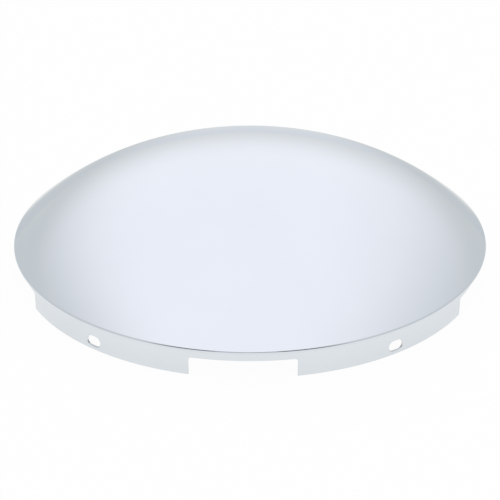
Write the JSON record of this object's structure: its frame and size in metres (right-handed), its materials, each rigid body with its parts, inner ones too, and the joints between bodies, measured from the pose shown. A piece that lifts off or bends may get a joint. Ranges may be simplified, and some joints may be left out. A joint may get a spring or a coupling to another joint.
{
  "type": "hub cap",
  "caption": "Domed truck wheel hub cap pressed from one polished sheet, with a rolled brim and a notched, slotted skirt that plugs into the wheel's centre bore.",
  "frame": {"origin": "on the cap's axis, in the plane of the tabs' lower edges", "axes": "+Z along the cap's axis, out of the dome; the middle of one notch is on the -Y side"},
  "size_m": [0.2228, 0.2228, 0.0514],
  "materials": {
    "polished_steel": "mirror polished outside, duller inside"
  },
  "bodies": {
    "root": {"hub_cap": "polished_steel"}
  },
  "joints": []
}
